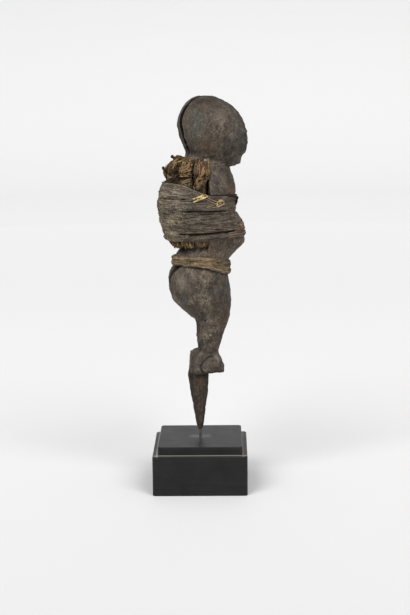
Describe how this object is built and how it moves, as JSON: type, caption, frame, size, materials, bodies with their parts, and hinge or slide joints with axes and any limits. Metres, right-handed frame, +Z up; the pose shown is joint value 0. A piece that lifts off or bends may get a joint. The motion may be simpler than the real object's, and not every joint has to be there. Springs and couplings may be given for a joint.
{
  "type": "wooden fetish figure on a plinth",
  "caption": "Carved wooden figure with a large head on a pointed stake, bound with fibre rolls and a wound wrap, standing on a stepped black plinth.",
  "frame": {"origin": "centre of the plinth's underside", "axes": "+Z up; the plinth's sides lie along X and Y; the figure faces +X, turned 14 degrees towards +Y"},
  "size_m": [0.0713, 0.07, 0.291],
  "materials": {
    "plinth_paint": "black satin lacquer on wood, worn at the edges",
    "pin_steel": "dull steel",
    "old_wood": "dark weathered wood with a dull patina",
    "roll_fibre": "coarse golden-brown plant fibre, caked and frayed",
    "wrap_cloth": "tight grey-brown fibre cloth, matt and dusty",
    "cord_fibre": "dark matt cord",
    "straw": "pale dry straw",
    "belt_fibre": "brown twisted fibre, worn tan"
  },
  "bodies": {
    "root": {"plinth": "plinth_paint", "mounting_pin": "pin_steel", "carved_figure": "old_wood", "back_roll_1": "roll_fibre", "back_roll_2": "roll_fibre", "back_roll_3": "roll_fibre", "back_roll_4": "roll_fibre", "back_roll_5": "roll_fibre", "back_roll_6": "roll_fibre", "wound_wrap": "wrap_cloth", "chest_cord": "cord_fibre", "straw_tie": "straw", "waist_belt": "belt_fibre"}
  },
  "joints": []
}
